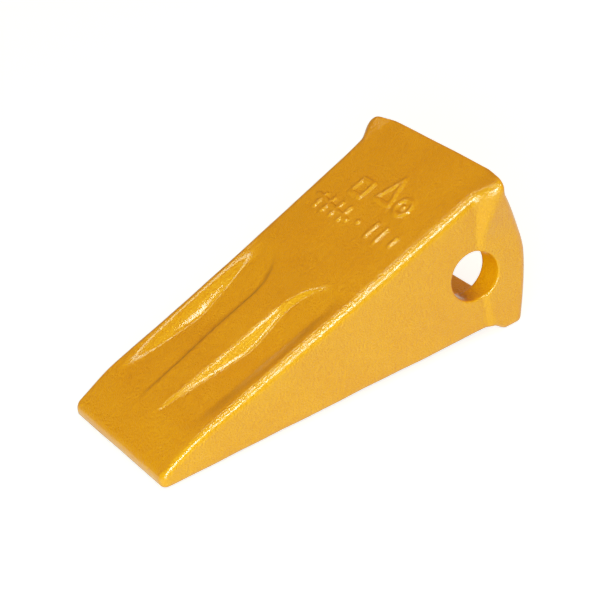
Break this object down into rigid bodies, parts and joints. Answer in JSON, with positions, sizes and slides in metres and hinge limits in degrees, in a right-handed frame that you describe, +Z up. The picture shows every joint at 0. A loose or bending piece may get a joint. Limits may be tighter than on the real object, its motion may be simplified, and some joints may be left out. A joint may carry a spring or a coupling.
{
  "type": "excavator bucket tooth",
  "caption": "Cast wedge-shaped bucket tooth with a rear nose socket, a cross bore, two scooped hollows and a rubber-cored locking pin.",
  "frame": {"origin": "middle of the flat land at the inner end of the nose socket, on the tooth's mid-plane", "axes": "+X towards the digging tip, +Y across the tooth towards the cheek that the pin is driven into, +Z up from the belly to the top"},
  "size_m": [0.2156, 0.1338, 0.0841],
  "materials": {
    "yellow_paint": "glossy yellow enamel over a slightly rough steel casting",
    "pin_steel": "oiled, heat-treated bar",
    "pin_rubber": "matt black vulcanised rubber"
  },
  "bodies": {
    "tooth": {"tooth_casting": "yellow_paint"},
    "pin": {"pin_plain_bar": "pin_steel", "pin_rubber_core": "pin_rubber"},
    "detent": {"pin_detent_bar": "pin_steel"}
  },
  "joints": [
    {"name": "pin_slide", "type": "slide", "parent": "tooth", "child": "pin", "axis": [0, 1, 0], "range_m": [-0.0845, 0.0295]},
    {"name": "detent_squeeze", "type": "slide", "parent": "pin", "child": "detent", "axis": [0, 0, -1], "range_m": [0, 0.0012], "stiffness_N_per_m": 20000, "deforming": ["pin_rubber_core"]}
  ]
}
